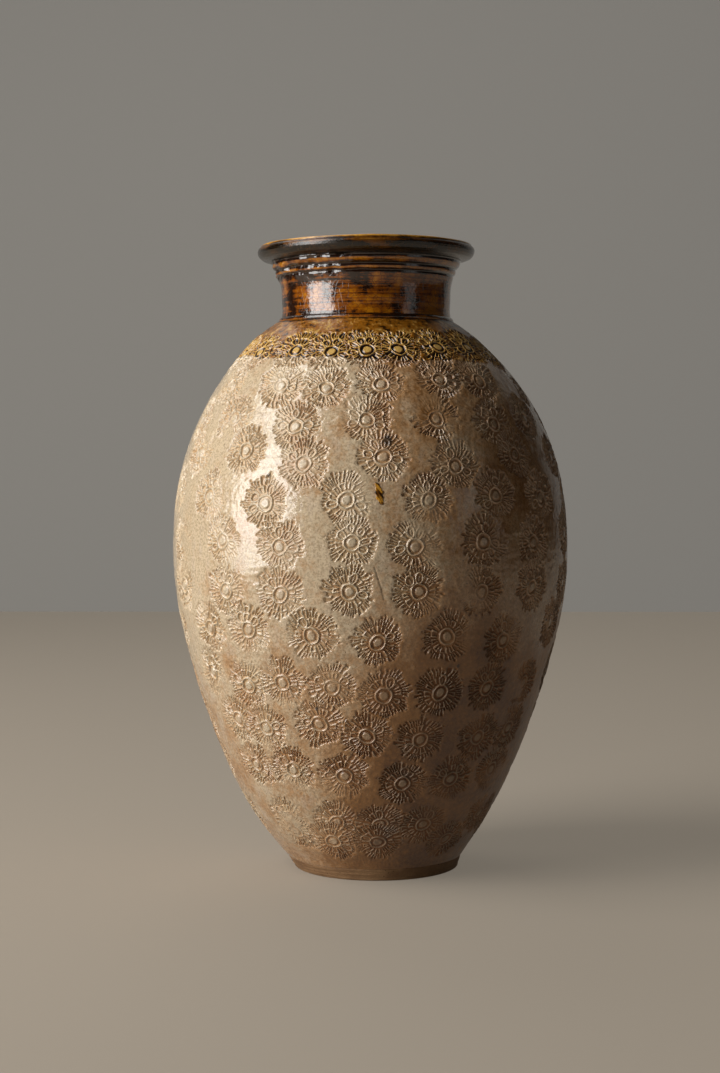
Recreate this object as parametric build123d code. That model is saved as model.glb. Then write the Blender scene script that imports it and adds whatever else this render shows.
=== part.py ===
"""A tall stoneware storage jar: thrown clay sections luted one on another, with a thrown neck and a rolled lip.

Millimetres, +Z up, with the origin at the centre of the foot, on the surface that the jar stands on.
"""

from build123d import *
import math
import os

# Overall sizes of the jar
jar_height = 460.0
belly_radius = 146.0
belly_height = 236.0
neck_height = 56.0
neck_radius = 62.5
foot_radius = 61.0

# Thickness of the wall, and of the neck
wall = 9.0

# Base slab: its bevelled edge, and the underside hollowed inside a flat standing ring
base_thickness = 13.0
bevel_height = 9.0
bevel_width = 4.0
standing_ring_width = 14.0
foot_hollow = 2.0

# Scarf joints between the sections of the wall, rising towards the inside
scarf_rise = 6.0

# Line where the glaze starts, below the root of the neck, and the rows of rosettes from the bevel up to it in
# each section of the wall
glaze_line_drop = 27.0
lower_rows = 3
belly_rows = 5
shoulder_rows = 3

# Rosette pressed into the wall: a flat-bottomed star of pointed petals round a boss that stands in its middle,
# and the room that each has in its row
rosette_radius = 18.0
rosette_depth = 1.8
rosette_pitch = 58.0
petal_count = 6
petal_valley_share = 0.7
boss_radius = 5.0
boss_height = 1.2

# Neck: outward flare under the lip, outside and inside, turned grooves, and the coil pressed round its root
flare_height = 22.7
flare_radius = 37.0
mouth_flare = 3.5
groove_count = 3
groove_pitch = 4.6
groove_drop = 2.2
groove_depth = 1.1
cordon_height = 3.6
cordon_width = 1.6

# Rolled lip, from its seat on the neck
lip_height = 12.3
lip_overhang = 17.7
lip_underside_rise = 2.0
lip_round = 4.6
lip_inner_slope = 4.0
lip_inner_chamfer = 3.0

# Drop of glaze that ran down from the glaze line and set on the belly
drip_fall = 101.0
drip_side = 7.5
drip_length = 16.0
drip_width = 6.5
drip_proud = 1.2

# Points of the wall's outline, as shares of the height and of the radius. The first list runs from the
# bevel to the belly, and the second from the belly to the root of the neck.
flare_shares = [(0.115, 0.235), (0.445, 0.668), (0.718, 0.9)]
shoulder_shares = [(0.351, 0.919), (0.619, 0.705), (0.833, 0.4), (0.964, 0.112)]

# Straight runs that a row of rosettes has in the outline, outside and inside
outer_runs = 2
inner_runs = 1

# Length by which a cut or a trimming region runs past what it trims
overrun = 12.0

# Times that the search for a height on the outline halves its step
halvings = 40

wall_foot_radius = foot_radius + bevel_width
neck_root_height = jar_height - neck_height
glaze_line_height = neck_root_height - glaze_line_drop
lip_seat_height = jar_height - lip_height
flare_start = lip_seat_height - flare_height
bore_radius = neck_radius - wall
mouth_radius = bore_radius + mouth_flare
lip_inner_radius = mouth_radius + lip_inner_slope
lip_radius = neck_radius + lip_overhang
row_count = lower_rows + belly_rows + shoulder_rows
drip_height = glaze_line_height - drip_fall
drip_angle = math.degrees(math.atan2(-belly_radius, drip_side))


def at(radius, height):
    """A point of the jar's half section."""
    return Vector(radius, 0, height)


def between(low, high, share):
    """The value that lies this share of the way from low to high."""
    return low + (high - low) * share


def section(points):
    """A flat piece of the jar's half section."""
    return make_face(Polyline(*points, close=True))


def turned(face):
    """The ring that a half section makes round the jar's axis."""
    return revolve(face, Axis.Z)


def outline_curve():
    """Smooth outside of the wall, from the bevel up to the root of the neck."""
    flare = [
        at(between(wall_foot_radius, belly_radius, out), between(bevel_height, belly_height, up))
        for up, out in flare_shares
    ]
    shoulder = [
        at(between(neck_radius, belly_radius, out), between(belly_height, neck_root_height, up))
        for up, out in shoulder_shares
    ]
    foot = at(wall_foot_radius, bevel_height)
    belly = at(belly_radius, belly_height)
    root = at(neck_radius, neck_root_height)
    return Spline([foot, *flare, belly, *shoulder, root])


outline = outline_curve()


def share_at_height(height):
    """How far along the outline it reaches this height, found by halving."""
    low = 0
    high = 1
    for _ in range(halvings):
        middle = (low + high) / 2
        if (outline @ middle).Z < height:
            low = middle
        else:
            high = middle
    return low


def outward(share):
    """Direction square to the outline, away from the clay."""
    along = outline % share
    return Vector(along.Z, 0, -along.X)


rows_share = share_at_height(glaze_line_height)


def wall_runs(runs_per_row, distance):
    """Points this far outside the outline, where one straight run meets the next, from bevel to neck."""
    steps = row_count * runs_per_row
    steps_above = 2 * runs_per_row
    shares = [rows_share * step / steps for step in range(steps)]
    shares += [between(rows_share, 1, step / steps_above) for step in range(steps_above + 1)]
    return [outline @ share + outward(share) * distance for share in shares]


outer_points = wall_runs(outer_runs, 0)
inner_points = wall_runs(inner_runs, -wall)
foot_point = outer_points[0]
root_point = outer_points[-1]
floor_edge = inner_points[0]
bore_foot = at(bore_radius, inner_points[-1].Z)


def base_section():
    """Slab with a bevelled edge, hollowed under a flat standing ring."""
    ring_inside = foot_radius - standing_ring_width
    return section(
        [
            at(0, foot_hollow),
            at(ring_inside - foot_hollow, foot_hollow),
            at(ring_inside, 0),
            at(foot_radius, 0),
            foot_point,
            floor_edge,
            at(0, base_thickness),
        ]
    )


def wall_section():
    """The whole wall, from the slab to the foot of the neck."""
    return section([*outer_points, bore_foot, *reversed(inner_points)])


def region_above(rows):
    """All of the half section above the scarf joint that lies on top of this many rows of rosettes."""
    joint = outline @ (rows_share * rows / row_count)
    reach = belly_radius + overrun
    slope = scarf_rise / wall
    return section(
        [
            at(0, joint.Z + slope * joint.X),
            at(reach, joint.Z - slope * (reach - joint.X)),
            at(reach, jar_height + overrun),
            at(0, jar_height + overrun),
        ]
    )


def petals():
    """Outline of one rosette, a star of pointed petals."""
    corners = []
    for step in range(2 * petal_count):
        turn = math.pi * step / petal_count
        reach = rosette_radius if step % 2 == 0 else rosette_radius * petal_valley_share
        corners.append((reach * math.cos(turn), reach * math.sin(turn)))
    return make_face(Polyline(*corners, close=True))


def rosette_row(row):
    """One row of rosettes round the jar, placed between those of the next rows, and clear of the drop of glaze."""
    share = rows_share * (row + 1 / 2) / row_count
    middle = outline @ share
    floor = Plane(origin=middle - outward(share) * rosette_depth, x_dir=(0, 1, 0), z_dir=outward(share))
    boss = extrude(floor * RegularPolygon(boss_radius, petal_count), boss_height)
    rosette = extrude(floor * petals(), overrun) - boss
    count = round(2 * math.pi * middle.X / rosette_pitch)
    first = drip_angle + 360 / count * (row % 2) / 2
    return [Rot(0, 0, first + 360 / count * place) * rosette for place in range(count)]


def pressed(wall_part, rows):
    """A section of the wall with these rows of rosettes pressed into it."""
    return wall_part - [shape for row in rows for shape in rosette_row(row)]


def neck_outside(height):
    """Point on the outside of the neck, which is straight and then flares under the lip."""
    rise = max(height - flare_start, 0)
    return at(neck_radius + flare_radius - math.sqrt(flare_radius**2 - rise**2), height)


def groove_cut(index):
    """One turned groove, as a notch in the half section."""
    bottom = neck_outside(lip_seat_height - groove_drop - groove_pitch * index) - at(groove_depth, 0)
    return section([bottom, bottom + at(overrun, -overrun), bottom + at(overrun, overrun)])


def collar_section():
    """Thrown neck, set in the opening of the shoulder and flared under the lip."""
    flare_foot = neck_outside(flare_start)
    flare_middle = neck_outside(lip_seat_height - flare_height / 2)
    flare_top = neck_outside(lip_seat_height)
    mouth = at(mouth_radius, lip_seat_height)
    bore_top = at(bore_radius, flare_start)
    outside = [Line(root_point, flare_foot), ThreePointArc(flare_foot, flare_middle, flare_top)]
    inside = Polyline(flare_top, mouth, bore_top, bore_foot, root_point)
    collar = make_face([*outside, inside])
    for index in range(groove_count):
        collar -= groove_cut(index)
    return collar


def cordon_section(neighbours):
    """Coil of clay pressed into the angle between shoulder and neck."""
    top = root_point + at(0, cordon_height)
    crown = root_point + at(cordon_width, cordon_height / 2)
    foot = root_point - outward(1) * cordon_width - (outline % 1) * cordon_height
    return section([top, crown, foot]) - neighbours


def lip_section():
    """Rolled rim that overhangs the neck, with a flat crest for a cover to rest on."""
    overhang = lip_seat_height + lip_underside_rise
    blank = section(
        [
            at(mouth_radius, lip_seat_height),
            neck_outside(lip_seat_height),
            at(lip_radius, overhang),
            at(lip_radius, jar_height),
            at(lip_inner_radius, jar_height),
        ]
    )
    outer_corners = blank.vertices().sort_by(Axis.X)[-2:]
    rolled = fillet(outer_corners, lip_round)
    inner_corner = rolled.vertices().group_by(Axis.Z)[-1].sort_by(Axis.X)[0]
    return chamfer(inner_corner, lip_inner_chamfer)


def glaze_drip():
    """Drop of glaze with a round head and a tail drawn up behind it, lying on the belly."""
    head_radius = drip_width / 2
    tail = Polyline((-head_radius, 0), (0, drip_length - head_radius), (head_radius, 0), close=True)
    drop = Circle(head_radius) + make_face(tail)
    front = Plane(origin=(drip_side, 0, drip_height), x_dir=(1, 0, 0), z_dir=(0, -1, 0))
    column = extrude(front * drop, belly_radius + overrun)
    skin = section([*outer_points, *reversed(wall_runs(outer_runs, drip_proud))])
    return column & turned(skin)


whole_wall = wall_section()
above_lower = region_above(lower_rows)
above_belly = region_above(lower_rows + belly_rows)
collar = collar_section()
rows = range(row_count)
lower_part = turned(whole_wall - above_lower)
belly_part = turned((whole_wall & above_lower) - above_belly)
shoulder_part = turned(whole_wall & above_belly)
parts = {
    "base_disc": turned(base_section()),
    "lower_wall": pressed(lower_part, rows[:lower_rows]),
    "belly_wall": pressed(belly_part, rows[lower_rows:-shoulder_rows]),
    "shoulder_wall": pressed(shoulder_part, rows[-shoulder_rows:]),
    "neck_cordon": turned(cordon_section([collar, whole_wall])),
    "neck_collar": turned(collar),
    "lip_coil": turned(lip_section()),
    "glaze_drip": glaze_drip(),
}
os.makedirs("parts", exist_ok=True)
for name, shape in parts.items():
    export_step(shape, f"parts/{name}.step")
    print(name, len(shape.solids()), round(shape.volume), shape.is_valid)
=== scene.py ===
"""The looks of the stamped stoneware jar: its pressed rosettes, slip, glaze and light.

The scene is in metres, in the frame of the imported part. The tables below are in millimetres.
"""

import math
from types import SimpleNamespace

import bpy
import numpy as np
from mathutils import Euler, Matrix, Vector


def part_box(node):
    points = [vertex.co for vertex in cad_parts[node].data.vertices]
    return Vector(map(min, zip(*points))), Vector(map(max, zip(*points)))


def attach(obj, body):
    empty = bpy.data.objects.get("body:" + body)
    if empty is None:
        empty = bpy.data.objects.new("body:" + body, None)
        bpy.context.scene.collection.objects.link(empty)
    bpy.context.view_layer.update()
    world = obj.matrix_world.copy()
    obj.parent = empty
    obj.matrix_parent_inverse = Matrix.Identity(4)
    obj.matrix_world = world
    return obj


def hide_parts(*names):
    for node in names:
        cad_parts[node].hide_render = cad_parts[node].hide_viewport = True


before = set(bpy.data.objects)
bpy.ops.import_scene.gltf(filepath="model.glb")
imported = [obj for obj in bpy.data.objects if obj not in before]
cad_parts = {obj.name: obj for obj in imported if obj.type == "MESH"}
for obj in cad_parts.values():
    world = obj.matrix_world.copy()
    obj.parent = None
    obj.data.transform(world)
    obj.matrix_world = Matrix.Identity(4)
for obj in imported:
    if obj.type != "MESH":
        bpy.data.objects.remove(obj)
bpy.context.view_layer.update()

mm = 0.001

# Heights and radii that the solids give
jar_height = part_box("lip_coil")[1].z / mm
lip_seat_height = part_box("lip_coil")[0].z / mm
lip_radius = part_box("lip_coil")[1].x / mm
neck_root_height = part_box("shoulder_wall")[1].z / mm
belly_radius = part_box("belly_wall")[1].x / mm
wall_foot_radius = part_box("base_disc")[1].x / mm
base_top_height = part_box("base_disc")[1].z / mm

# Sizes that the solids share with this scene
foot_radius = 61.0
bevel_height = 9.0
belly_height = 236.0
neck_radius = 62.5
bore_radius = 53.5
mouth_radius = 57.0
wall = 9.0
standing_ring_width = 14.0
foot_hollow = 2.0
glaze_line_height = 377.0

# Points of the wall's outline, as shares of the height and of the radius
flare_shares = [(0, 0), (0.115, 0.235), (0.445, 0.668), (0.718, 0.9)]
shoulder_shares = [(0, 1), (0.351, 0.919), (0.619, 0.705), (0.833, 0.4), (0.964, 0.112), (1, 0)]

# Fineness of the meshes. The wall is cut into bands of this many rows, and its glazed cap into three.
wall_columns = 1840
band_rows = 40
band_count = 22
cap_rows = 96
cap_bands = 3
band_owners = {"lower_wall": 6, "belly_wall": 10, "shoulder_wall": 6 + cap_bands}
inside_rows = 5
ring_columns = 840
neck_rows = 118
lip_rows = 96
cordon_rows = 20
foot_columns = 720
foot_rows = 138
drip_columns = 96

# Samples of curves and rays, the share of its rows that a ring has inside its fine radius, and its blend
curve_samples = 4000
ring_samples = 6000
ray_steps = 6000
coarse_share = 0.25
coarse_blend = 2.0
ring_fine_radius = neck_radius - 1.5
foot_fine_radius = foot_radius - 4.0

# Strips that the flat map of a band or a ring is cut into, and the gap between strips
wall_strips = 5
ring_strips = 4
strip_gap = 0.02

# The clay stands this far inside the outline, and its swellings rise no more than this and stay this much
# inside the widest radius, so that they stay within the solids
skin_depth = 0.25
most_proud = 0.9
girth_gap = 0.05

# Random fields as strength, and size of the patches round the jar and up it
wall_fields = [(0.32, 70, 45), (0.1, 16, 12), (0.04, 90, 2.6), (0.045, 2.2, 2.0)]
tone_fields = [(0.06, 70, 60), (0.05, 16, 50), (0.03, 7, 7)]
glaze_fields = [(0.6, 30, 30), (0.25, 5, 5)]
neck_fields = [(0.07, 1.8, 1.6), (0.55, 5, 2.6)]

# Inside of the wall: depth of its throwing rings, height that they take in a radian, and how pale it is
inside_ripple = 0.35
inside_ripple_height = 9.0
inside_tone = 0.4

# The jar leans: its foot lies to the right of its axis, its neck to the left, and its rim is lowest there
foot_shift = 4.5
foot_shift_height = 25.0
neck_shift = -3.3
neck_shift_start = 330.0
neck_shift_height = 70.0
rim_drop = 1.0

# The camera, from the photograph
photo_width = 720
photo_height = 1073
focal_pixels = 1950.0
sensor_width = 36.0
camera_distance = 1447.0
camera_height = 307.3
camera_pitch = 2.48
camera_yaw = 0.305

# Rosette die: boss and ring, petals that are partly worn away, and rays, twice as many near the edge. The
# shoulder's die has a crown of large petals round the others, and is narrower.
boss_radius = 3.8
ring_radius = 5.5
ring_line = 0.65
petal_count = 6
petal_spread = 215.0
petal_size = (9.7, 3.6, 2.5)
petal_line = 0.48
crown_count = 5
crown_spread = 80.0
crown_size = (16.2, 4.2, 2.5)
crown_line = 0.62
crown_squeeze = 1.6
ray_count = 44
ray_start = 7.4
ray_split = 12.4
die_radius = 20.2
die_offset = 1.3
halo_width = 7.0

# Depth and edge of the cut, rise of the lines in it, sink of the clay round it, and spill at its edge
press_depth = 1.15
press_slope = 2.4
line_rise = 1.12
sink_depth = 0.1
sink_slope = 9.0
spill_height = 0.06
spill_width = 1.4

# How the stamps differ: turn in radians, size, depth, and how much deeper one side is
turn_spread = 0.35
scale_range = (0.95, 1.03)
depth_range = (0.8, 1.1)
tilt_range = (0.15, 0.7)
crown_turn_spread = 0.12
crown_scale_range = (0.97, 1.05)
crown_tilt_range = (0, 0.1)

# Middles of the rosettes' rings in the photograph, row by row from the shoulder down, in its pixels
rosette_pixels = [
    [(281, 385), (326, 387), (381.6, 383.5), (440, 379), (479.6, 381)],
    [(295, 425.5), (366.6, 419), (437, 418.4), (494.5, 423), (525.7, 418)],
    [(245, 450), (302.6, 463.6), (383.2, 456.4), (456.2, 465.4), (516, 454)],
    [(209, 496), (264.7, 503), (346.3, 500), (429.5, 500), (497.4, 495), (542, 497)],
    [(222, 541), (279, 547), (351.8, 543), (415.6, 546.8), (485.1, 541.4), (535, 542)],
    [(226, 591), (279.5, 595), (349, 592), (419.6, 592), (482.3, 592), (533, 587)],
    [(210, 628), (248, 630.3), (311, 636.2), (378, 643.2), (447.8, 637.2), (504, 640)],
    [(212, 672), (247.4, 686.5), (281.7, 683.4), (332, 688)]
    + [(384.2, 696), (440.5, 693), (487.6, 688), (524, 683)],
    [(238, 720), (265.7, 729), (319.2, 724.8), (367, 736.8), (420.6, 740), (478, 737.6), (509, 728)],
    [(255.4, 764.7), (293, 771), (344.2, 776.7), (402.8, 784.7), (451.2, 779.5), (492, 769)],
    [(289, 819), (337, 823), (380.6, 825.5), (424, 825.3)],
    [(295, 832), (333, 842.3), (378, 842.8)],
]
crown_pixels = [(260, 352), (296, 350), (331, 351), (367, 349), (399, 348), (438, 346), (468, 347)]

# From these rows on, counted from 0, the rosettes show few of their petals, and are shallower
first_ray_row = 6
ray_row_petals = 3
first_shallow_row = 10
shallow_share = 0.7

# Room of a stamp in its row round the back, and how far it may stray there
rosette_pitch = 58.0
crown_pitch = 29.0
stray_across = 3.0
stray_up = 4.0
crown_stray_up = 2.0

# The glaze ends this far below its line in the solids, and this much lower still at the right
glaze_sag = 4.4
glaze_slant = 3.0

# Below the first height, and again near the foot, the slip darkens over these spans: thinner slip and
# painted shade
low_shade_height = 260.0
low_shade_span = 190.0
foot_shade_height = 43.0
foot_shade_span = 36.0

# Marks on the body, in pixels of the photograph, and their half widths, half heights and darkness
glaze_drip_pixel = (379, 493)
crack_pixels = [(374.4, 567.5), (378, 578.6), (381.7, 589.6), (384, 600)]
crack_half_width = 0.5
crack_depth = 0.25
crack_darkness = 0.6
smudge_pixel = (388, 440)
smudge_shape = (3.0, 3.8, 0.85)
dark_spot_pixels = [(316.5, 709), (458, 666), (268, 475)]
dark_spot_shape = (1.1, 1.3, 0.9)


def smooth_curve(points, samples):
    """Evenly stepped places on the smooth curve through these points."""
    knots = np.array(points, float)
    lengths = np.linalg.norm(np.diff(knots, axis=0), axis=1)
    along = arc_lengths(knots)
    count = len(knots)
    matrix = np.eye(count)
    right = np.zeros_like(knots)
    for i in range(1, count - 1):
        matrix[i, i - 1] = lengths[i - 1] / 6
        matrix[i, i] = (lengths[i - 1] + lengths[i]) / 3
        matrix[i, i + 1] = lengths[i] / 6
        right[i] = (knots[i + 1] - knots[i]) / lengths[i] - (knots[i] - knots[i - 1]) / lengths[i - 1]
    bend = np.linalg.solve(matrix, right)
    at = np.linspace(0, along[-1], samples)
    i = np.clip(np.searchsorted(along, at) - 1, 0, count - 2)
    span = lengths[i][:, None]
    before = (along[i + 1] - at)[:, None]
    after = (at - along[i])[:, None]
    curve = (bend[i] * before**3 + bend[i + 1] * after**3) / (6 * span)
    curve += (knots[i] / span - bend[i] * span / 6) * before
    curve += (knots[i + 1] / span - bend[i + 1] * span / 6) * after
    return curve


def arc_lengths(curve):
    """Distance along the curve to each of its places."""
    return np.concatenate([[0], np.cumsum(np.linalg.norm(np.diff(curve, axis=0), axis=1))])


def resampled(curve, at):
    """Places at these distances along the curve."""
    along = arc_lengths(curve)
    return np.stack([np.interp(at, along, curve[:, 0]), np.interp(at, along, curve[:, 1])], axis=1)


def squares_of(curve):
    """Direction square to the curve, away from the clay, where the curve runs up the outside."""
    step = np.gradient(curve, axis=0)
    step /= np.linalg.norm(step, axis=1)[:, None]
    return np.stack([step[:, 1], -step[:, 0]], axis=1)


def ramp(value, low, high):
    """0 below low, 1 above high, and smooth in between."""
    share = np.clip((value - low) / (high - low), 0, 1)
    return share * share * (3 - 2 * share)


def columns_round(count):
    """Angles of this many columns round the jar, from the back."""
    return np.arange(count) * (math.tau / count) - math.pi


def wall_curve():
    """Outline of the wall as (radius, height), from the bevel to the root of the neck."""
    points = []
    for shares, narrow, low, high in (
        (flare_shares, wall_foot_radius, bevel_height, belly_height),
        (shoulder_shares, neck_radius, belly_height, neck_root_height),
    ):
        points += [(narrow + (belly_radius - narrow) * out, low + (high - low) * up) for up, out in shares]
    return smooth_curve(points, curve_samples)


def lean(height):
    """How far the jar's middle lies to the right of its axis at this height."""
    at_foot = foot_shift * np.exp(-np.asarray(height) / foot_shift_height)
    at_neck = neck_shift * ramp(height, neck_shift_start, neck_shift_start + neck_shift_height)
    return at_foot + at_neck


def round_jar(radius, height, angle):
    """Places in metres, from radius and height in mm and the angle to the right of the front."""
    x = radius * np.sin(angle) + lean(height)
    y = -radius * np.cos(angle)
    drop = rim_drop * np.maximum(-np.sin(angle), 0) * ramp(height, neck_root_height, lip_seat_height)
    return np.stack(np.broadcast_arrays(x, y, height - drop), axis=-1) * mm


def standing_off(curve, squares, rise, angle):
    """Places round the jar that stand this far off an outline."""
    return round_jar(curve[:, :1] + squares[:, :1] * rise, curve[:, 1:] + squares[:, 1:] * rise, angle)


# Grid of the wall's outside: rows from the bevel up, and columns round the jar from the back
outline = wall_curve()
outline_lengths = arc_lengths(outline)
glaze_line_length = np.interp(glaze_line_height, outline[:, 1], outline_lengths)
rows_below = np.linspace(0, glaze_line_length, band_count * band_rows + 1)
rows_above = np.linspace(glaze_line_length, outline_lengths[-1], cap_rows + 1)[1:]
row_lengths = np.concatenate([rows_below, rows_above])
row_places = resampled(outline, row_lengths)
row_squares = squares_of(row_places)
angles = columns_round(wall_columns)
grid_shape = (len(row_lengths), wall_columns)
row_radius = row_places[:, :1]
row_height = row_places[:, 1:]
row_step = glaze_line_length / (band_count * band_rows)
column_step = math.tau * belly_radius / wall_columns


def patches(seed, across, along, shape=grid_shape):
    """Smooth random field of unit spread over a grid, with patches of these sizes in mm."""
    noise = np.random.default_rng(seed).standard_normal(shape)
    turns_up = np.fft.fftfreq(shape[0])[:, None] * along / row_step
    turns_round = np.fft.rfftfreq(shape[1])[None, :] * across / column_step
    keep = np.exp(-2 * (math.pi / 2) ** 2 * (turns_up**2 + turns_round**2))
    field = np.fft.irfft2(np.fft.rfft2(noise) * keep, s=shape)
    return field / field.std()


def layered(first_seed, fields, shape=grid_shape):
    """Sum of random fields, each given as its strength and the size of its patches."""
    parts = enumerate(fields, first_seed)
    return sum(strength * patches(seed, across, along, shape) for seed, (strength, across, along) in parts)


def turned_from(angle):
    """Angle of each column from this one, at most half a turn either way."""
    return (angles - angle + math.pi) % math.tau - math.pi


# Where the wall gave way more or less under the die
uneven = patches(5, 13, 13)


def camera_turn():
    """Rotation of the camera."""
    return Euler((math.radians(90 - camera_pitch), 0, math.radians(camera_yaw)))


def on_wall(pixel):
    """(angle, distance along the outline) of the place on the wall that a pixel shows."""
    across = (pixel[0] - photo_width / 2) / focal_pixels
    down = (pixel[1] - photo_height / 2) / focal_pixels
    ray = camera_turn().to_matrix() @ Vector((across, -down, -1))
    far = np.linspace(camera_distance - belly_radius * 1.1, camera_distance, ray_steps)
    x = ray.x * far
    y = ray.y * far - camera_distance
    z = ray.z * far + camera_height
    radius = np.hypot(x - lean(z), y)
    inside = radius <= np.interp(z, outline[:, 1], outline[:, 0])
    first = int(np.argmax(inside))
    angle = math.atan2(x[first] - lean(z[first]), -y[first])
    return angle, float(np.interp(z[first], outline[:, 1], outline_lengths))


def bar(distance, half_width):
    """Rounded line: 1 on it, falling to 0 at a little over its half width."""
    return np.exp(-((distance / half_width) ** 2))


def petal(u, v, angle, reach, half_length, half_width, line):
    """Raised outline and middle rib of one petal, and how far out in the petal each place is."""
    along = u * math.cos(angle) + v * math.sin(angle) - reach
    across = v * math.cos(angle) - u * math.sin(angle)
    widened = half_width * (1 + 0.18 * np.clip(along / half_length, -1, 1))
    oval = np.hypot(along / half_length, across / widened)
    edge = bar((oval - 1) * half_width, line)
    rib = 0.75 * bar(across, line * 0.9) * ramp(half_length * 0.7 - np.abs(along + 0.4), 0, 1)
    return np.maximum(edge, rib), oval


def petal_ring(count, spread, size, kept):
    """Angle, reach, half length and half width of the petals of one ring that are kept."""
    return [(90 + spread * (index / (count - 1) - 0.5), *size) for index in kept]


def die_lines(u, v, wear, ends, petals, line):
    """Height of the rosette's raised lines, from 0 to 1, at places in mm from the middle of its ring."""
    far = np.hypot(u, v)
    around = np.arctan2(v, u)
    lines = np.maximum(0.85 * ramp(boss_radius - far, 0, 1.4), bar(far - ring_radius, ring_line))
    taken = ramp(ring_radius + 1.4 - far, -0.5, 0.5)
    for index, (angle, reach, length, width) in enumerate(petals):
        turned, moved, longer, wider = wear[index % 12 : index % 12 + 4]
        angle = math.radians(angle + 6 * turned)
        length = length * (1 + 0.14 * longer)
        width = width * (1 + 0.14 * wider)
        outline_height, oval = petal(u, v, angle, reach + 0.6 * moved, length, width, line)
        free = ramp(oval, 0.75, 1.1)
        lines = np.maximum(lines * np.maximum(free, far < ring_radius + 1), outline_height)
        taken = np.maximum(taken, ramp(1.2 - oval, -0.08, 0.08))
    waver = 0.05 * np.sin(3 * around + 9 * wear[0]) + 0.04 * np.sin(7 * around + 5 * wear[1])
    waver = waver + 0.01 * wear[2] * (far - ray_split)
    turns = ray_count * (around + waver) / math.tau
    turns = turns + 0.07 * np.sin(1.1 * far + 5 * ends[2][np.round(turns).astype(int) % ray_count])
    number = np.round(turns).astype(int) % ray_count
    groove = np.floor(turns).astype(int) % ray_count
    outer_turns = turns + 0.5 * np.sin(2 * around + 7 * wear[6])
    outer_groove = np.floor(outer_turns).astype(int) % ray_count
    edge = die_radius - 1.6 + 2.2 * ends[1][outer_groove] * ramp(far, ray_split, ray_split + 4)
    start = ray_start + 0.5 * ends[0][number]
    few = ramp(np.cos(math.pi * turns), 0.1, 0.95)
    few = np.maximum(few, 0.9 * bar(far - ray_split + 0.9, 0.5) * (groove // 2 % 2 == 0))
    many = ramp(np.cos(math.tau * outer_turns), -0.1, 0.95)
    many = np.maximum(many, 0.9 * bar(far - edge + 1.6, 0.5) * (outer_groove % 2 == 0))
    split = ray_split + 0.5 * ends[2][groove]
    ray = few + (many - few) * ramp(far, split - 0.3, split + 0.3)
    ray = ray * (1 - 0.75 * bar(far - split, 0.45)) * (0.85 + 0.15 * ends[0][number])
    ray = ray * ramp(far, start - 0.6, start + 0.6) * (1 - taken)
    return np.maximum(lines, ray), edge


def press(marks, angle, length, turn, scale, depth, tilt, petals, line, squeeze, seed):
    """Press the die into the wall at this place, squeezed from its sides."""
    random = np.random.default_rng(seed)
    wear = random.uniform(-1, 1, 16)
    ends = random.uniform(-1, 1, (3, ray_count))
    reach = (die_radius + die_offset + halo_width) * scale
    rows = np.flatnonzero(np.abs(row_lengths - length) < reach)
    apart = turned_from(angle)
    columns = np.flatnonzero(np.abs(apart) * row_radius[rows].min() < reach)
    spot = np.ix_(rows, columns)
    across = apart[columns][None, :] * row_radius[rows]
    up = (row_lengths[rows] - length)[:, None] + 0 * across
    u = (across * math.cos(turn) + up * math.sin(turn)) / scale
    v = (up * math.cos(turn) - across * math.sin(turn)) / scale
    u = u + 0.3 * np.sin(0.5 * v + 5 * wear[7]) + 0.07 * np.sin(1.5 * v + 6 * wear[9])
    v = v + 0.3 * np.sin(0.45 * u + 5 * wear[8]) + 0.07 * np.sin(1.4 * u + 6 * wear[10])
    far = np.hypot(u * squeeze, v - die_offset)
    around = np.arctan2(v - die_offset, u)
    ragged = 0.6 * np.sin(3 * around + 6 * wear[3]) + 0.4 * np.sin(7 * around + 6 * wear[4])
    lines, groove_end = die_lines(u, v, wear, ends, petals, line)
    edge = groove_end + ragged
    side = (u * math.cos(6 * wear[5]) + v * math.sin(6 * wear[5])) / die_radius
    worn = np.clip(0.88 + tilt * (side + 0.7 * uneven[spot]), 0.05, 1.2)
    cut = ramp(edge - far, 0, press_slope) * worn
    sunk = ramp(die_radius + 1.5 - far, 0, sink_slope) * sink_depth
    spill = spill_height * bar(far - edge - 1.0, spill_width)
    over = ramp(edge - far, -0.6, 1.2)
    height = spill - sunk - depth * cut * (1 - line_rise * lines)
    marks["height"][spot] = marks["height"][spot] * (1 - over) + height * over + (spill - sunk) * (1 - over)
    marks["pressed"][spot] = np.maximum(marks["pressed"][spot] * (1 - over), cut)
    marks["line"][spot] = marks["line"][spot] * (1 - over) + lines * over
    halo = ramp(die_radius + halo_width - far, 0, halo_width)
    marks["halo"][spot] = np.maximum(marks["halo"][spot], halo)


def whole_row(pixels, pitch, random, stray_across, stray_up):
    """(angle, length) of each stamp of a row: those in the photograph, and more round the back."""
    row = [on_wall(pixel) for pixel in pixels]
    row_length = float(np.mean([length for _, length in row]))
    radius = float(np.interp(row_length, row_lengths, row_places[:, 0]))
    last = row[-1][0]
    gap = math.tau - (last - row[0][0])
    hidden = max(round(gap * radius / pitch) - 1, 1)
    for place in range(hidden):
        angle = last + gap * (place + 1) / (hidden + 1)
        if stray_across:
            angle += random.uniform(-stray_across, stray_across) / radius
        row.append((angle, row_length + random.uniform(-stray_up, stray_up)))
    return row


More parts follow.
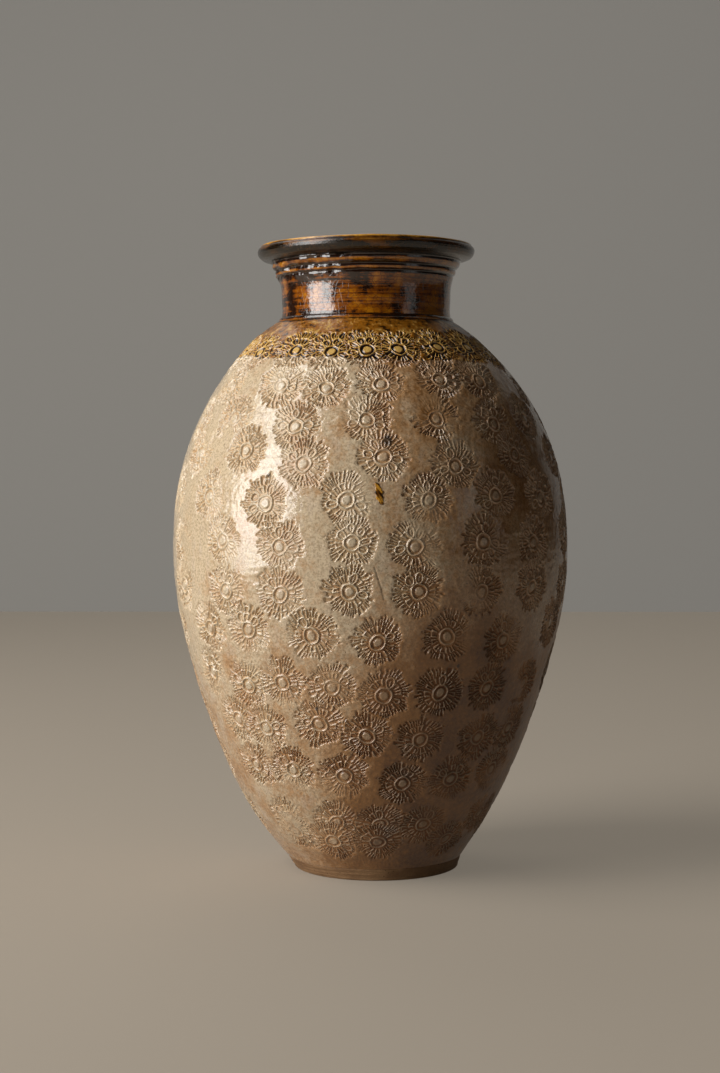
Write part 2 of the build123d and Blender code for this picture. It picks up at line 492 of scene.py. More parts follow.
def stamp_rows(marks):
    """Rosettes of the body, each with its own turn, size, depth and wear, pressed in any order."""
    random = np.random.default_rng(11)
    for number, pixels in enumerate(rosette_pixels):
        row = whole_row(pixels, rosette_pitch, random, stray_across, stray_up)
        most = petal_count if number < first_ray_row else ray_row_petals
        row_depth = press_depth * (shallow_share if number >= first_shallow_row else 1)
        for index in random.permutation(len(row)):
            kept = random.choice(petal_count, random.integers(most // 3, most), replace=False)
            turn = random.normal(0, turn_spread)
            scale = random.uniform(*scale_range)
            depth = row_depth * random.uniform(*depth_range)
            tilt = random.uniform(*tilt_range)
            petals = petal_ring(petal_count, petal_spread, petal_size, kept)
            seed = 100 * number + int(index)
            press(marks, *row[index], turn, scale, depth, tilt, petals, petal_line, 1.0, seed)


def shoulder_row(marks):
    """Crowned rosettes under the glaze. Rays of the first, full stamps fill the gaps of the narrow ones."""
    random = np.random.default_rng(12)
    row = whole_row(crown_pixels, crown_pitch, random, 0, crown_stray_up)
    petals = petal_ring(crown_count, crown_spread, crown_size, range(crown_count))
    petals += petal_ring(petal_count, petal_spread, petal_size, range(petal_count))
    for squeeze in (1.0, crown_squeeze):
        for index, place in enumerate(row):
            turn = random.normal(0, crown_turn_spread)
            scale = random.uniform(*crown_scale_range)
            tilt = random.uniform(*crown_tilt_range)
            press(marks, *place, turn, scale, press_depth, tilt, petals, crown_line, squeeze, 9000 + index)


def stain(marks, pixel, half_across, half_up, darkness):
    """Darken a small oval of the wall at this pixel."""
    angle, length = on_wall(pixel)
    across = turned_from(angle) * row_radius
    oval = np.hypot(across / half_across, (row_lengths[:, None] - length) / half_up)
    marks["stain"] = np.maximum(marks["stain"], darkness * ramp(1.4 - oval, 0, 0.8))


def crack(marks):
    """Hairline crack in the slip, cut a little into the clay."""
    places = [on_wall(pixel) for pixel in crack_pixels]
    for (angle_a, length_a), (angle_b, length_b) in zip(places, places[1:]):
        across = (angles - angle_a) * row_radius
        up = row_lengths[:, None] - length_a
        to_across = (angle_b - angle_a) * row_radius
        to_up = length_b - length_a
        share = np.clip((across * to_across + up * to_up) / (to_across**2 + to_up**2), 0, 1)
        near = np.hypot(across - share * to_across, up - share * to_up)
        groove = bar(near, crack_half_width)
        marks["height"] -= crack_depth * groove
        marks["stain"] = np.maximum(marks["stain"], crack_darkness * groove)


def wall_marks():
    """Height of the wall's surface over its outline, and the masks that its materials read."""
    marks = {name: np.zeros(grid_shape) for name in ("height", "pressed", "line", "halo", "stain")}
    stamp_rows(marks)
    shoulder_row(marks)
    crack(marks)
    for pixel in dark_spot_pixels:
        stain(marks, pixel, *dark_spot_shape)
    stain(marks, smudge_pixel, *smudge_shape)
    fade = ramp(row_height, bevel_height, bevel_height + 4)
    marks["height"] += layered(1, wall_fields)
    room = np.minimum(belly_radius - girth_gap + skin_depth - row_radius, most_proud)
    marks["height"] = np.minimum(marks["height"] * fade, room) - skin_depth
    marks["glaze"] = glaze_mask()
    marks["tone_and_shade"] = slip_tone_and_painted_shade()
    root = bar(row_height - neck_root_height + 1.6, 0.6)
    raised = ramp(marks["line"], 0.3, 0.8)
    marks["pool"] = np.clip(0.48 + marks["pressed"] * (0.4 - raised) + 0.5 * root, 0, 1)
    return marks


def glaze_mask():
    """1 where the shoulder's glaze covers the clay, down to an uneven line."""
    line = glaze_line_height - glaze_sag - glaze_slant * np.sin(angles)
    return ramp(row_height - line - layered(21, glaze_fields)[:1], -0.5, 0.7)


def slip_tone_and_painted_shade():
    """Paleness of the slip, 0 to 1, darker to the right and at the foot: partly browner slip, partly painted
    shade.
    """
    # Painted shade: darker to the right and lower down, mixed with a browner slip there
    side = np.sin(angles)
    low = ramp(low_shade_height - row_height, 0, low_shade_span)
    low = (0.32 + 0.36 * ramp(side, -0.5, 0.25)) * low
    foot = 0.2 * ramp(foot_shade_height - row_height, 0, foot_shade_span)
    tone_and_shade = 0.98 - 0.52 * ramp(side, -0.3, 0.6) - low - foot + layered(31, tone_fields)
    return np.clip(tone_and_shade, 0, 1)


def faces_round(rows, columns, closed):
    """Corner numbers of the faces of a grid round the jar, and round its section if closed."""
    last = rows if closed else rows - 1
    row = np.arange(last)[:, None]
    column = np.arange(columns)[None, :]
    next_row = (row + 1) % rows
    next_column = (column + 1) % columns
    corners = [row * columns + column, row * columns + next_column]
    corners += [next_row * columns + next_column, next_row * columns + column]
    return np.stack(corners, axis=-1).reshape(-1, 4)


def face_map(rows, columns, row_tops, strips, closed):
    """Flat map of the same faces: the grid is cut into strips, which lie one over the other."""
    last = rows if closed else rows - 1
    tops = np.append(row_tops, 1.0)[: last + 1]
    column = np.arange(columns)
    strip = column * strips // columns
    start = strip * columns / strips
    left = (column - start) * strips / columns
    right = left + strips / columns
    low = (strip + strip_gap + (1 - 2 * strip_gap) * tops[:-1, None]) / strips
    high = (strip + strip_gap + (1 - 2 * strip_gap) * tops[1:, None]) / strips
    corners = np.broadcast_arrays(left, low, right, low, right, high, left, high)
    return np.stack(corners, axis=-1).reshape(-1, 8)


def add_pole(grid, places, row, up):
    """Close an open grid at this row with a fan of triangles round a pole that faces up or down."""
    columns = places.shape[1]
    first = row * columns
    here = first + np.arange(columns)
    beyond = first + (np.arange(columns) + 1) % columns
    pair = [beyond, here] if up < 0 else [here, beyond]
    fan = np.stack([*pair, 0 * here + len(grid.points)], axis=-1)
    grid.points = np.vstack([grid.points, places[row].mean(axis=0)])
    grid.normals = np.vstack([grid.normals, [0, 0, up]])
    for key, value in grid.marks.items():
        grid.marks[key] = np.append(value, value[first : first + columns].mean())
    grid.starts = np.append(grid.starts, grid.corners.size + 3 * np.arange(columns))
    grid.corners = np.append(grid.corners, fan.ravel())
    grid.map = np.append(grid.map, np.zeros(2 * fan.size))


def linked(name, data):
    """New object of the scene with this data."""
    made = bpy.data.objects.new(name, data)
    bpy.context.scene.collection.objects.link(made)
    return made


def mesh_object(name, grid):
    """Object that has this grid as its mesh, with its marks as attributes."""
    mesh = bpy.data.meshes.new(name)
    mesh.vertices.add(len(grid.points))
    mesh.vertices.foreach_set("co", grid.points.astype(np.float32).ravel())
    mesh.loops.add(len(grid.corners))
    mesh.loops.foreach_set("vertex_index", grid.corners.astype(np.int32))
    mesh.polygons.add(len(grid.starts))
    mesh.polygons.foreach_set("loop_start", grid.starts.astype(np.int32))
    mesh.uv_layers.new(name="OFBake").uv.foreach_set("vector", grid.map.astype(np.float32))
    for key, value in grid.marks.items():
        mesh.attributes.new(key, "FLOAT", "POINT").data.foreach_set("value", value.astype(np.float32))
    mesh.update(calc_edges=True)
    mesh.validate()
    mesh.normals_split_custom_set_from_vertices(grid.normals.astype(np.float32))
    return linked(name, mesh)


def surface_object(name, places, normals, marks, strips, closed=True):
    """Mesh object from places[row, column]. An open grid gets a pole at either end."""
    rows, columns = places.shape[:2]
    lengths = arc_lengths(places[:, 0])
    tops = lengths / (lengths[-1] * (1 + strip_gap if closed else 1))
    grid = SimpleNamespace(
        points=places.reshape(-1, 3),
        normals=normals.reshape(-1, 3),
        marks={key: value.ravel() for key, value in marks.items()},
        corners=faces_round(rows, columns, closed).ravel(),
        map=face_map(rows, columns, tops, strips, closed).ravel(),
    )
    grid.starts = np.arange(0, grid.corners.size, 4)
    if not closed:
        add_pole(grid, places, 0, -1)
        add_pole(grid, places, rows - 1, 1)
    return mesh_object(name, grid)


def grid_normals(places, closed):
    """Normal at each place of a grid that runs round the jar."""
    across = np.roll(places, -1, axis=1) - np.roll(places, 1, axis=1)
    if closed:
        up = np.roll(places, -1, axis=0) - np.roll(places, 1, axis=0)
    else:
        up = np.gradient(places, axis=0)
    normals = np.cross(across, up)
    return normals / (np.linalg.norm(normals, axis=-1)[..., None] + 1e-12)


def dress(piece, material, node):
    """Give a piece its material and its slot on the jar, and hide the solid that it stands for."""
    piece.data.materials.append(material)
    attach(piece, "root")
    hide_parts(node)


def wall_inside(start, end):
    """Places and normals of the inside of a band of the wall, from its top row down."""
    back = np.linspace(end, start, inside_rows).round().astype(int)
    squares = row_squares[back]
    depth = wall + inside_ripple * np.sin(row_lengths[back] / inside_ripple_height)[:, None]
    out = squares[:, :1]
    facing = np.broadcast_arrays(-out * np.sin(angles), out * np.cos(angles), -squares[:, 1:])
    return standing_off(row_places[back], squares, -depth, angles), np.stack(facing, axis=-1)


def wall_pieces(clay):
    """The wall in bands that meet along a row of places, with the clay's thickness inside."""
    marks = wall_marks()
    rise = marks.pop("height")
    outside = standing_off(row_places, row_squares, rise, angles)
    normals = grid_normals(outside, closed=False)
    cuts = [band * band_rows for band in range(band_count + 1)]
    cuts += [cuts[-1] + cap_rows * band // cap_bands for band in range(1, cap_bands + 1)]
    owners = [node for node, bands in band_owners.items() for _ in range(bands)]
    for number, (start, end) in enumerate(zip(cuts, cuts[1:])):
        inner, facing = wall_inside(start, end)
        shown = {}
        for key, mask in marks.items():
            blank = np.full((inside_rows, wall_columns), inside_tone if key == "tone_and_shade" else 0.0)
            shown[key] = np.vstack([mask[start : end + 1], blank])
        glazed = number >= band_count
        name = f"glazed_band_{number - band_count + 1}" if glazed else f"stamped_band_{number + 1}"
        places = np.concatenate([outside[start : end + 1], inner])
        directions = np.concatenate([normals[start : end + 1], facing])
        piece = surface_object(name, places, directions, shown, wall_strips)
        dress(piece, clay, owners[number])


class Shader:
    """A material, or the world, with short ways to add its nodes."""

    def __init__(self, name, owners=bpy.data.materials, surface="Principled BSDF"):
        self.owner = owners.new(name)
        self.owner.use_nodes = True
        self.tree = self.owner.node_tree
        self.surface = self.tree.nodes[surface]
        self.places = self.add("TexCoord").outputs["Object"]

    def add(self, kind, sockets=(), **settings):
        node = self.tree.nodes.new("ShaderNode" + kind)
        for key, value in settings.items():
            setattr(node, key, value)
        for key, value in dict(sockets).items():
            self.feed(node.inputs[key], value)
        return node

    def feed(self, socket, value):
        if isinstance(value, bpy.types.NodeSocket):
            self.tree.links.new(value, socket)
        else:
            socket.default_value = value

    def put(self, socket, value):
        """Set or feed a socket of the surface."""
        self.feed(self.surface.inputs[socket], value)

    def mark(self, name):
        """A mask that the mesh carries."""
        return self.add("Attribute", attribute_name=name).outputs["Fac"]

    def noise(self, size, detail=3.0, roughness=0.55, stretch=(1, 1, 1)):
        """Noise from 0 to 1 with grains of this many mm, drawn out along an axis by stretch."""
        scale = [1 / (size * mm * share) for share in stretch]
        moved = self.add("Mapping", {"Vector": self.places, "Scale": scale})
        sockets = {"Vector": moved.outputs[0], "Scale": 1.0, "Detail": detail, "Roughness": roughness}
        return self.add("TexNoise", sockets).outputs["Fac"]

    def cells(self, size, **settings):
        """Distances in a pattern of cells of this many mm."""
        moved = self.add("Mapping", {"Vector": self.places, "Scale": [1 / (size * mm)] * 3})
        sockets = {"Vector": moved.outputs[0], "Scale": 1.0}
        return self.add("TexVoronoi", sockets, **settings).outputs["Distance"]

    def spots(self, size, radius):
        """1 in the middle of scattered spots this far apart, and 0 past their radius, a share of that."""
        return self.span(self.cells(size), radius, radius * 0.4)

    def cracks(self, size, width):
        """1 on the edges of cells of this many mm, and 0 away from them."""
        return self.span(self.cells(size, feature="DISTANCE_TO_EDGE"), width, 0.0)

    def span(self, value, low, high, to_low=0.0, to_high=1.0):
        """The value, smoothly fitted from one range to another."""
        sockets = {"Value": value, "From Min": low, "From Max": high, "To Min": to_low, "To Max": to_high}
        return self.add("MapRange", sockets, interpolation_type="SMOOTHSTEP").outputs[0]

    def math(self, operation, first, second, clamp=False):
        node = self.add("Math", {0: first, 1: second}, operation=operation, use_clamp=clamp)
        return node.outputs[0]

    def plus(self, first, second):
        return self.math("ADD", first, second)

    def times(self, first, second):
        return self.math("MULTIPLY", first, second)

    def mix(self, share, low, high, blend="MIX"):
        """Colour between low and high, which are sockets or screen colours."""
        sockets = {0: share}
        for socket, value in ((6, low), (7, high)):
            sockets[socket] = colour(*value) if isinstance(value, tuple) else value
        return self.add("Mix", sockets, data_type="RGBA", blend_type=blend).outputs[2]

    def bump(self, height, distance, strength=1.0, below=None):
        sockets = {"Height": height, "Distance": distance * mm, "Strength": strength}
        if below is not None:
            sockets["Normal"] = below
        return self.add("Bump", sockets).outputs[0]


def colour(red, green, blue):
    """Shader colour from a screen colour of 0 to 255."""
    shares = [value / 255 for value in (red, green, blue)]
    linear = [share / 12.92 if share <= 0.04045 else ((share + 0.055) / 1.055) ** 2.4 for share in shares]
    return linear + [1.0]


def body_material():
    """Pale slip over brown clay, matt where the rosettes are pressed, with amber glaze on the shoulder;
    shade and highlights are partly painted in.
    """
    s = Shader("slipped_clay")
    tone_and_shade, pressed, line, halo, glazed = map(s.mark, ("tone_and_shade", "pressed", "line", "halo", "glaze"))
    cloud = s.noise(20, 4)
    streak = s.noise(9, 5, 0.62, stretch=(1, 1, 2.8))
    mottle = s.noise(3.2, 4, 0.7)
    grain = s.noise(1.5, 3, 0.65)
    tone_now = s.plus(tone_and_shade, s.span(cloud, 0.3, 0.7, -0.14, 0.14))
    tone_now = s.plus(tone_now, s.span(mottle, 0.3, 0.7, -0.13, 0.13))
    # The slip's colour follows the tone mask; its dark brown end is partly painted shade of the right side
    # and the lower body
    ground = s.mix(s.span(tone_now, -0.2, 0.25), (106, 64, 24), (164, 114, 62))
    ground = s.mix(s.span(tone_now, 0.2, 0.55), ground, (206, 162, 116))
    ground = s.mix(s.span(tone_now, 0.45, 0.95), ground, (230, 208, 174))
    # Pale streaks on the open ground: partly whitish slip, partly a painted reflection of the fill light;
    # none near the stamps
    haze_and_painted_reflection = s.math("SUBTRACT", s.span(streak, 0.46, 0.62), s.times(halo, 0.6), clamp=True)
    haze_and_painted_reflection = s.times(haze_and_painted_reflection, s.span(tone_and_shade, 0.35, 0.7))
    ground = s.mix(s.times(haze_and_painted_reflection, 0.5), ground, (228, 208, 184))
    # Painted shade and highlight: the stamps' hollows are painted a little darker, and their raised lines
    # paler
    hollow = s.mix(1.0, ground, (242, 228, 208), "MULTIPLY")
    painted_highlight_ridge = s.mix(0.28, ground, (246, 234, 208))
    body = s.mix(pressed, ground, s.mix(s.span(line, 0.1, 0.75), hollow, painted_highlight_ridge))
    body = s.mix(s.times(s.spots(5.5, 0.12), s.span(cloud, 0.4, 0.6)), body, (104, 76, 50))
    body = s.mix(s.span(grain, 0.4, 0.55, 0.4, 0.0), body, (132, 96, 60))
    body = s.mix(s.mark("stain"), body, (52, 34, 20))
    cloudy = s.span(s.noise(6, 5, 0.7), 0.3, 0.7, -0.36, 0.36)
    cloudy = s.times(cloudy, s.span(pressed, 0, 0.7, 1, 0.3))
    pool = s.plus(s.mark("pool"), cloudy)
    amber = s.mix(s.span(pool, 0.05, 0.42), (228, 184, 100), (158, 98, 16))
    amber = s.mix(s.span(pool, 0.5, 0.8), amber, (32, 15, 2))
    s.put("Base Color", s.mix(glazed, body, amber))
    matt = s.plus(s.span(pressed, 0, 0.6, 0.13, 0.38), s.span(mottle, 0.3, 0.7, -0.04, 0.04))
    matt = s.math("SUBTRACT", matt, s.times(s.times(line, pressed), 0.15))
    matt = s.plus(matt, s.span(tone_and_shade, 0.1, 0.45, 0.3, 0))
    rough = s.plus(s.times(matt, s.span(glazed, 0, 1, 1, 0)), s.span(glazed, 0, 1, 0, 0.28))
    s.put("Roughness", rough)
    s.put("Specular IOR Level", 1.0)
    fine = s.bump(grain, 0.18, 0.7)
    s.put("Normal", s.bump(s.noise(0.7, 2), 0.04, 0.6, fine))
    return s.owner


def neck_material():
    """Runny amber glaze over dark brown, with fine throwing lines and crazing."""
    s = Shader("amber_glaze")
    patch = s.noise(12, 5, 0.66, stretch=(1.5, 1.5, 1))
    runs = s.noise(9, 1, stretch=(1, 1, 3))
    rings = s.noise(1.1, 2, stretch=(60, 60, 1))
    crazing = s.cracks(4.2, 0.045)
    thick = s.plus(s.times(runs, 0.3), s.times(patch, 0.7))
    thick = s.plus(thick, s.span(rings, 0.35, 0.65, -0.045, 0.045))
    thick = s.plus(thick, s.span(s.mark("pool"), 0, 1, -0.2, 0.2))
    glaze = s.mix(s.span(thick, 0.34, 0.5), (198, 126, 16), (144, 76, 4))
    glaze = s.mix(s.span(thick, 0.47, 0.57), glaze, (38, 16, 2))
    glaze = s.mix(s.times(crazing, 0.75), glaze, (50, 22, 6))
    s.put("Base Color", glaze)
    s.put("Roughness", s.span(patch, 0.3, 0.7, 0.3, 0.4))
    s.put("Specular IOR Level", 0.1)
    s.put("Coat Weight", 1.0)
    s.put("Coat IOR", 1.8)
    s.put("Coat Roughness", 0.05)
    wavy = s.bump(s.noise(4, 3), 0.3, 0.7, s.bump(rings, 0.05, 0.4))
    fine = s.bump(crazing, -0.05, 0.6, wavy)
    s.put("Normal", fine)
    s.put("Coat Normal", fine)
    return s.owner


def lip_material():
    """Worn, pitted glaze of the rim: gold where it runs thin over an edge, and nearly black below."""
    s = Shader("worn_glaze")
    patch = s.noise(9, 5, 0.7, stretch=(2, 2, 1))
    grain = s.noise(1.3, 3, 0.7)
    pool = s.plus(s.mark("pool"), s.span(patch, 0.3, 0.7, -0.24, 0.24))
    glaze = s.mix(s.span(pool, 0.05, 0.45), (222, 160, 56), (104, 60, 12))
    glaze = s.mix(s.span(pool, 0.45, 0.75), glaze, (14, 7, 2))
    glaze = s.mix(s.span(grain, 0.5, 0.68, 0, 0.5), glaze, (104, 78, 44))
    s.put("Base Color", glaze)
    s.put("Roughness", s.span(grain, 0.3, 0.7, 0.04, 0.12))
    s.put("Specular IOR Level", 0.8)
    s.put("Normal", s.bump(grain, 0.26, 0.9))
    return s.owner


def clay_material():
    """Bare brown clay of the foot, with grit."""
    s = Shader("bare_clay")
    cloud = s.noise(18, 4)
    grain = s.noise(1.2, 3, 0.7)
    clay = s.mix(s.span(cloud, 0.3, 0.7), (140, 104, 70), (176, 138, 98))
    clay = s.mix(s.times(s.spots(4, 0.16), 0.7), clay, (60, 42, 26))
    clay = s.mix(s.span(grain, 0.35, 0.7, 0.25, 0), clay, (70, 50, 32))
    s.put("Base Color", clay)
    s.put("Roughness", s.span(grain, 0.3, 0.7, 0.62, 0.78))
    s.put("Normal", s.bump(grain, 0.2, 0.8))
    return s.owner


def stops(curve, rows, fine_radius, closed):
    """Distances along the curve for its rows, which lie closest together outside this radius."""
    fine = ramp(curve[:, 0], fine_radius - coarse_blend, fine_radius)
    density = coarse_share + (1 - coarse_share) * fine
    weighed = np.linalg.norm(np.diff(curve, axis=0), axis=1) * density[1:]
    travelled = np.concatenate([[0], np.cumsum(weighed)])
    wanted = np.linspace(0, travelled[-1], rows, endpoint=not closed)
    return np.interp(wanted, travelled, arc_lengths(curve))


def ring_piece(name, section, rows, pool_of, bulge_of, glaze, node):
    """Closed ring from its section, a closed loop of (radius, height) that runs up the outside."""
    loop = smooth_curve(section + section[:1], ring_samples)
    curve = resampled(loop, stops(loop, rows, ring_fine_radius, closed=True))
    at = (curve[:, :1], curve[:, 1:], columns_round(ring_columns))
    places = standing_off(curve, squares_of(curve), bulge_of(*at), at[2])
    pool = np.clip(pool_of(*np.broadcast_arrays(*at)), 0, 1)
    piece = surface_object(name, places, grid_normals(places, closed=True), {"pool": pool}, ring_strips)
    dress(piece, glaze, node)


# Neck: the outside rises and flares, and the inside comes back down
neck_section = [(neck_radius - 2, neck_root_height - 3), (neck_radius + 0.1, neck_root_height + 1)]
neck_section += [(62.3, 409), (62.4, 416), (62.6, 424), (63.2, 430), (65.0, 436), (67.3, 441.5)]
neck_section += [(69.6, 445.5), (70.3, 447.4), (66, 447.7), (58.5, 447.7), (mouth_radius - 0.4, 445.5)]
neck_section += [(55.2, 436), (53.9, 426), (bore_radius, 414), (bore_radius, 401), (55.5, 398), (59, 399.5)]

# Radii between the neck's inside and outside, its grooves, and a band this far below all but the lowest
neck_side = (58, 61)
groove_heights = [436.0, 440.6, 446.5]
groove_depth = 0.8
band_rise = 0.3
band_drop = 2.3


def neck_lines(height, groove_width, band_width):
    """How far each height is in a groove, and on a band."""
    grooves = sum(bar(height - groove, groove_width) for groove in groove_heights)
    bands = sum(bar(height - groove + band_drop, band_width) for groove in groove_heights[1:])
    return grooves, bands


def neck_bulge(radius, height, angle):
    """Turned grooves under the lip with rounded bands between them, faint throwing rings, and pits."""
    grooves, bands = neck_lines(height, 0.7, 1.2)
    rings = 0.012 * np.sin(height * 2.1 + 1.3 * np.sin(height * 0.63)) + 0.006 * np.sin(height * 4.3)
    sway = 0.25 * np.sin(angle + 0.7) + 0.15 * np.sin(3 * angle + 2)
    pits = layered(51, neck_fields, (len(height), angle.size))
    pits = pits * ramp(height, 431, 436) * ramp(-np.sin(angle), -0.4, 0.5)
    relief = band_rise * bands - groove_depth * grooves + rings + pits
    return ramp(radius, *neck_side) * relief + 0.4 * sway - skin_depth


def neck_pool(radius, height, angle):
    """Glaze is thin on the bands and pools in the grooves."""
    grooves, bands = neck_lines(height, 1.1, 1.0)
    return 0.5 + ramp(radius, *neck_side) * (0.6 * grooves - 0.25 * bands) - 0.1 * np.sin(angle)


# Rolled lip: up its outside, over the crest, and down into the mouth
lip_section = [(70.2, 447.5), (73.4, 448.2), (76.2, 449.1), (78.5, 450.7), (79.7, 452.7)]
lip_section += [(lip_radius - 0.05, 454.9), (79.7, 456.6), (78.7, 457.6), (78.0, 458.2), (77.9, 458.8)]
lip_section += [(77.1, 459.6), (75.6, jar_height - 0.1), (70.0, jar_height - 0.15), (66.0, jar_height - 0.3)]
lip_section += [(62.6, 458.9), (60.4, 456.6), (58.7, 452.2), (mouth_radius + 0.4, 448.6)]
lip_section += [(58.6, 447.7), (64.0, 447.7)]


def lip_bulge(radius, height, angle):
    """Slight waver of a rim finished by hand, and ridges round its side."""
    waver = 0.12 * np.sin(2 * angle + 0.4) + 0.08 * np.sin(5 * angle) + 0.05 * np.sin(11 * angle + height)
    ridges = 0.07 * np.sin(3.4 * height + 0.8 * np.sin(3 * angle)) * ramp(458.5 - height, 0, 1)
    return waver + ridges - 0.15


def lip_pool(radius, height, angle):
    """Glaze runs thin over the rim's upper edge and its widest bead, and the rim is darker underneath."""
    edge = 1.15 * bar(np.hypot(radius - 77.3, height - 459.3), 1.2)
    edge = edge + 0.3 * bar(height - 456.2, 0.8) * ramp(radius, 76, 78)
    under = ramp(451.5 - height, 0, 3) * ramp(radius, 60, 64)
    return 0.72 - 0.72 * edge + 0.2 * under


# Coil in the angle between neck and shoulder
cordon_section = [(61.5, 402.6), (63.8, 402.2), (64.6, 403.0), (64.3, 404.4), (63.3, 405.5), (62.0, 406.0)]
cordon_section += [(61.0, 404.4)]


def cordon_bulge(radius, height, angle):
    """Uneven thickness of a coil pressed on by hand."""
    return 0.12 * np.sin(9 * angle + 1) + 0.1 * np.sin(23 * angle) - 0.1


def cordon_pool(radius, height, angle):
    """Glaze is thicker over the coil's upper side."""
    return 0.6 + 0.15 * (height - 404) + 0.1 * np.sin(7 * angle)


def foot_piece(clay):
    """Slab with a scraped bevel, a flat standing ring and a shallow hollow under it."""
    ring_inside = foot_radius - standing_ring_width
    section = [(0.8, foot_hollow), (ring_inside - foot_hollow - 1, foot_hollow), (ring_inside - 0.4, 0.12)]
    section += [(ring_inside + 0.6, 0.0), (foot_radius - 0.9, 0.0), (foot_radius - 0.1, 0.5)]
    section += [(wall_foot_radius - 0.5, bevel_height - 0.6), (wall_foot_radius - 0.6, bevel_height + 0.4)]
    section += [(wall_foot_radius - wall, base_top_height), (0.8, base_top_height - 1.8)]
    corners = np.array(section)
    dense = resampled(corners, np.linspace(0, arc_lengths(corners)[-1], curve_samples))
    curve = resampled(dense, stops(dense, foot_rows, foot_fine_radius, closed=False))
    outer = ramp(curve[:, :1], foot_radius - 0.5, foot_radius + 0.5)
    scrape = patches(41, 20, 1.2, (len(curve), foot_columns))
    bulge = outer * (0.12 * scrape - 0.15) + (1 - outer) * 0.02 * np.sin(curve[:, :1] * 2.4)
    bulge = np.where(curve[:, 1:] < 0.05, 0, bulge)
    places = standing_off(curve, squares_of(curve), bulge, columns_round(foot_columns))
    normals = grid_normals(places, closed=False)
    piece = surface_object("foot_slab", places, normals, {}, ring_strips, closed=False)
    dress(piece, clay, "base_disc")


# Drop of glaze: its size and lean, and the rings of its mesh as shares of its outline and rises off the wall
drip_half_width = 2.3
drip_half_height = 7.6
drip_lean = 1.7
drip_shares = [0.05, 0.35, 0.65, 0.85, 0.95, 1.0, 0.97, 0.9, 0.78, 0.6, 0.4, 0.2, 0.05]
drip_rises = [-0.6, -0.6, -0.6, -0.6, -0.5, -0.25, -0.04, 0.04, 0.1, 0.15, 0.18, 0.2, 0.2]


def drip_piece(glaze):
    """Drop of amber glaze that ran down the belly and set."""
    angle, length = on_wall(glaze_drip_pixel)
    rim = np.arange(drip_columns) * (math.tau / drip_columns)
    across = drip_half_width * np.cos(rim) * (1 - 0.3 * np.sin(rim)) - drip_lean * np.sin(rim)
    across += 0.35 * np.sin(3 * rim) + 0.3 * np.cos(5 * rim)
    across += 0.3 * np.sin(8 * rim) + 0.3 * np.sin(13 * rim + 1)
    up = drip_half_height * np.sin(rim) + 0.35 * np.cos(2 * rim)
    across = np.array(drip_shares)[:, None] * across
    up = np.array(drip_shares)[:, None] * up
    radius = np.interp(length + up, row_lengths, row_places[:, 0])
    height = np.interp(length + up, row_lengths, row_places[:, 1])
    lifted = radius - skin_depth + np.array(drip_rises)[:, None]
    places = round_jar(lifted, height, angle + across / radius)
    blotch = 0.35 * np.sin(0.8 * (up + 0.5 * across) + 2) + 0.2 * np.sin(2.3 * across + 1.5 * up)
    marks = {"pool": np.clip(0.42 + blotch, 0, 1)}
    piece = surface_object("glaze_drop", places, grid_normals(places, closed=False), marks, 1, closed=False)
    dress(piece, glaze, "glaze_drip")


# Studio, in metres: the backdrop stands behind the camera of any view
floor_reach = 8.0
backdrop_distance = 2.3
backdrop_half_width = 2.45
backdrop_height = 4.2

# Colour of each sheet, and the colour and strength of its glow
floor_look = ((0.27, 0.225, 0.175, 1), (1.0, 0.88, 0.72, 1), 0.16)
backdrop_look = ((0.2, 0.19, 0.172, 1), (1.0, 0.95, 0.87, 1), 0.14)

# Lamps: azimuth from the camera's side to the right, elevation, distance, width and height, and power
lamps = {
    "window": (-64, 13.7, 2.2, (1.42, 1.46), 39),
    "upper_window": (-72, 48, 2.2, (1.3, 0.9), 18),
    "second_window": (61, 12, 2.4, (0.7, 1.15), 0.85),
    "back_window": (-160, 50, 2.2, (1.2, 0.8), 5),
}
lamp_tint = (1.0, 0.98, 0.95)
lamp_target = Vector((0, 0, 0.25))

# Light from all sides, weak on the jar, and paler where the camera sees past the sheets
world_tint = (1.0, 0.97, 0.92, 1)
world_strength = 0.012
world_shown_strength = 0.2


def area_light(name, azimuth, elevation, distance, size, power):
    """Soft rectangular lamp that faces the jar."""
    lamp = bpy.data.lights.new(name, "AREA")
    lamp.shape = "RECTANGLE"
    lamp.size, lamp.size_y = size
    lamp.energy = power
    lamp.color = lamp_tint
    made = linked(name, lamp)
    turn = math.radians(azimuth)
    flat = distance * math.cos(math.radians(elevation))
    rise = distance * math.sin(math.radians(elevation))
    made.location = lamp_target + Vector((flat * math.sin(turn), -flat * math.cos(turn), rise))
    made.rotation_euler = (lamp_target - made.location).to_track_quat("-Z", "Y").to_euler()


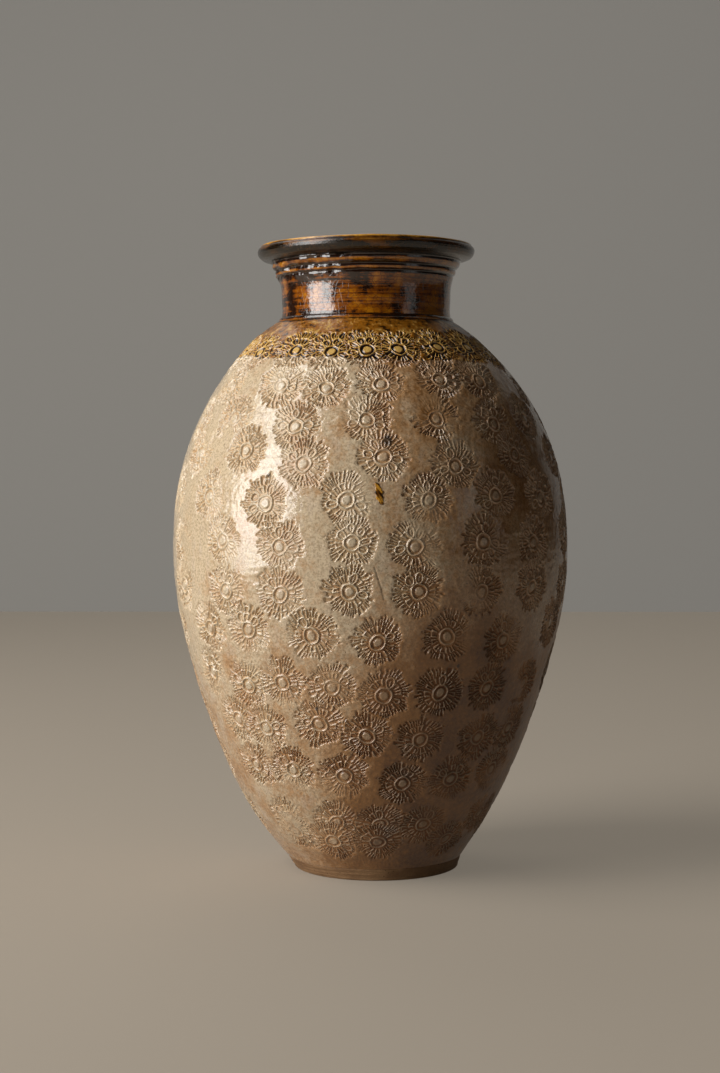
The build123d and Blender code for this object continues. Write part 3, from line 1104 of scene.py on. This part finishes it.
def stage_sheet(name, corners, base, glow, strength):
    """Flat sheet behind or under the jar. Its glow shows directly, through glass and in a gloss."""
    mesh = bpy.data.meshes.new(name)
    mesh.from_pydata(corners, [], [(0, 1, 2, 3)])
    sheet = linked(name, mesh)
    s = Shader(name)
    path = s.add("LightPath")
    shown = s.math("MAXIMUM", path.outputs["Is Camera Ray"], path.outputs["Is Transmission Ray"])
    shown = s.math("MAXIMUM", shown, path.outputs["Is Glossy Ray"])
    s.put("Base Color", base)
    s.put("Roughness", 0.9)
    s.put("Emission Color", glow)
    s.put("Emission Strength", s.times(shown, strength))
    sheet.data.materials.append(s.owner)


def studio():
    """Pale floor in front of a plain backdrop, a window light from the left, and weak fill."""
    left, right = -backdrop_half_width, backdrop_half_width
    near, far = -floor_reach, backdrop_distance
    floor = [(near, near, 0), (-near, near, 0), (-near, far, 0), (near, far, 0)]
    backdrop = [(left, far, 0), (right, far, 0), (right, far, backdrop_height), (left, far, backdrop_height)]
    stage_sheet("floor", floor, *floor_look)
    stage_sheet("backdrop", backdrop, *backdrop_look)
    for name, lamp in lamps.items():
        area_light(name, *lamp)
    s = Shader("studio", bpy.data.worlds, "Background")
    shown = s.add("LightPath").outputs["Is Camera Ray"]
    s.put("Color", world_tint)
    s.put("Strength", s.span(shown, 0, 1, world_strength, world_shown_strength))
    bpy.context.scene.world = s.owner


def camera():
    """The photograph's view."""
    lens = bpy.data.cameras.new("camera")
    lens.sensor_width = sensor_width
    lens.lens = focal_pixels / photo_height * sensor_width
    made = linked("camera", lens)
    made.location = (0, -camera_distance * mm, camera_height * mm)
    made.rotation_euler = camera_turn()
    bpy.context.scene.camera = made


clay_body = body_material()
amber = neck_material()
worn_amber = lip_material()
bare_clay = clay_material()
wall_pieces(clay_body)
foot_piece(bare_clay)
ring_piece("neck", neck_section, neck_rows, neck_pool, neck_bulge, amber, "neck_collar")
ring_piece("rolled_lip", lip_section, lip_rows, lip_pool, lip_bulge, worn_amber, "lip_coil")
ring_piece("neck_cordon_bead", cordon_section, cordon_rows, cordon_pool, cordon_bulge, amber, "neck_cordon")
drip_piece(worn_amber)
studio()
camera()
bpy.context.scene.view_settings.view_transform = "Standard"
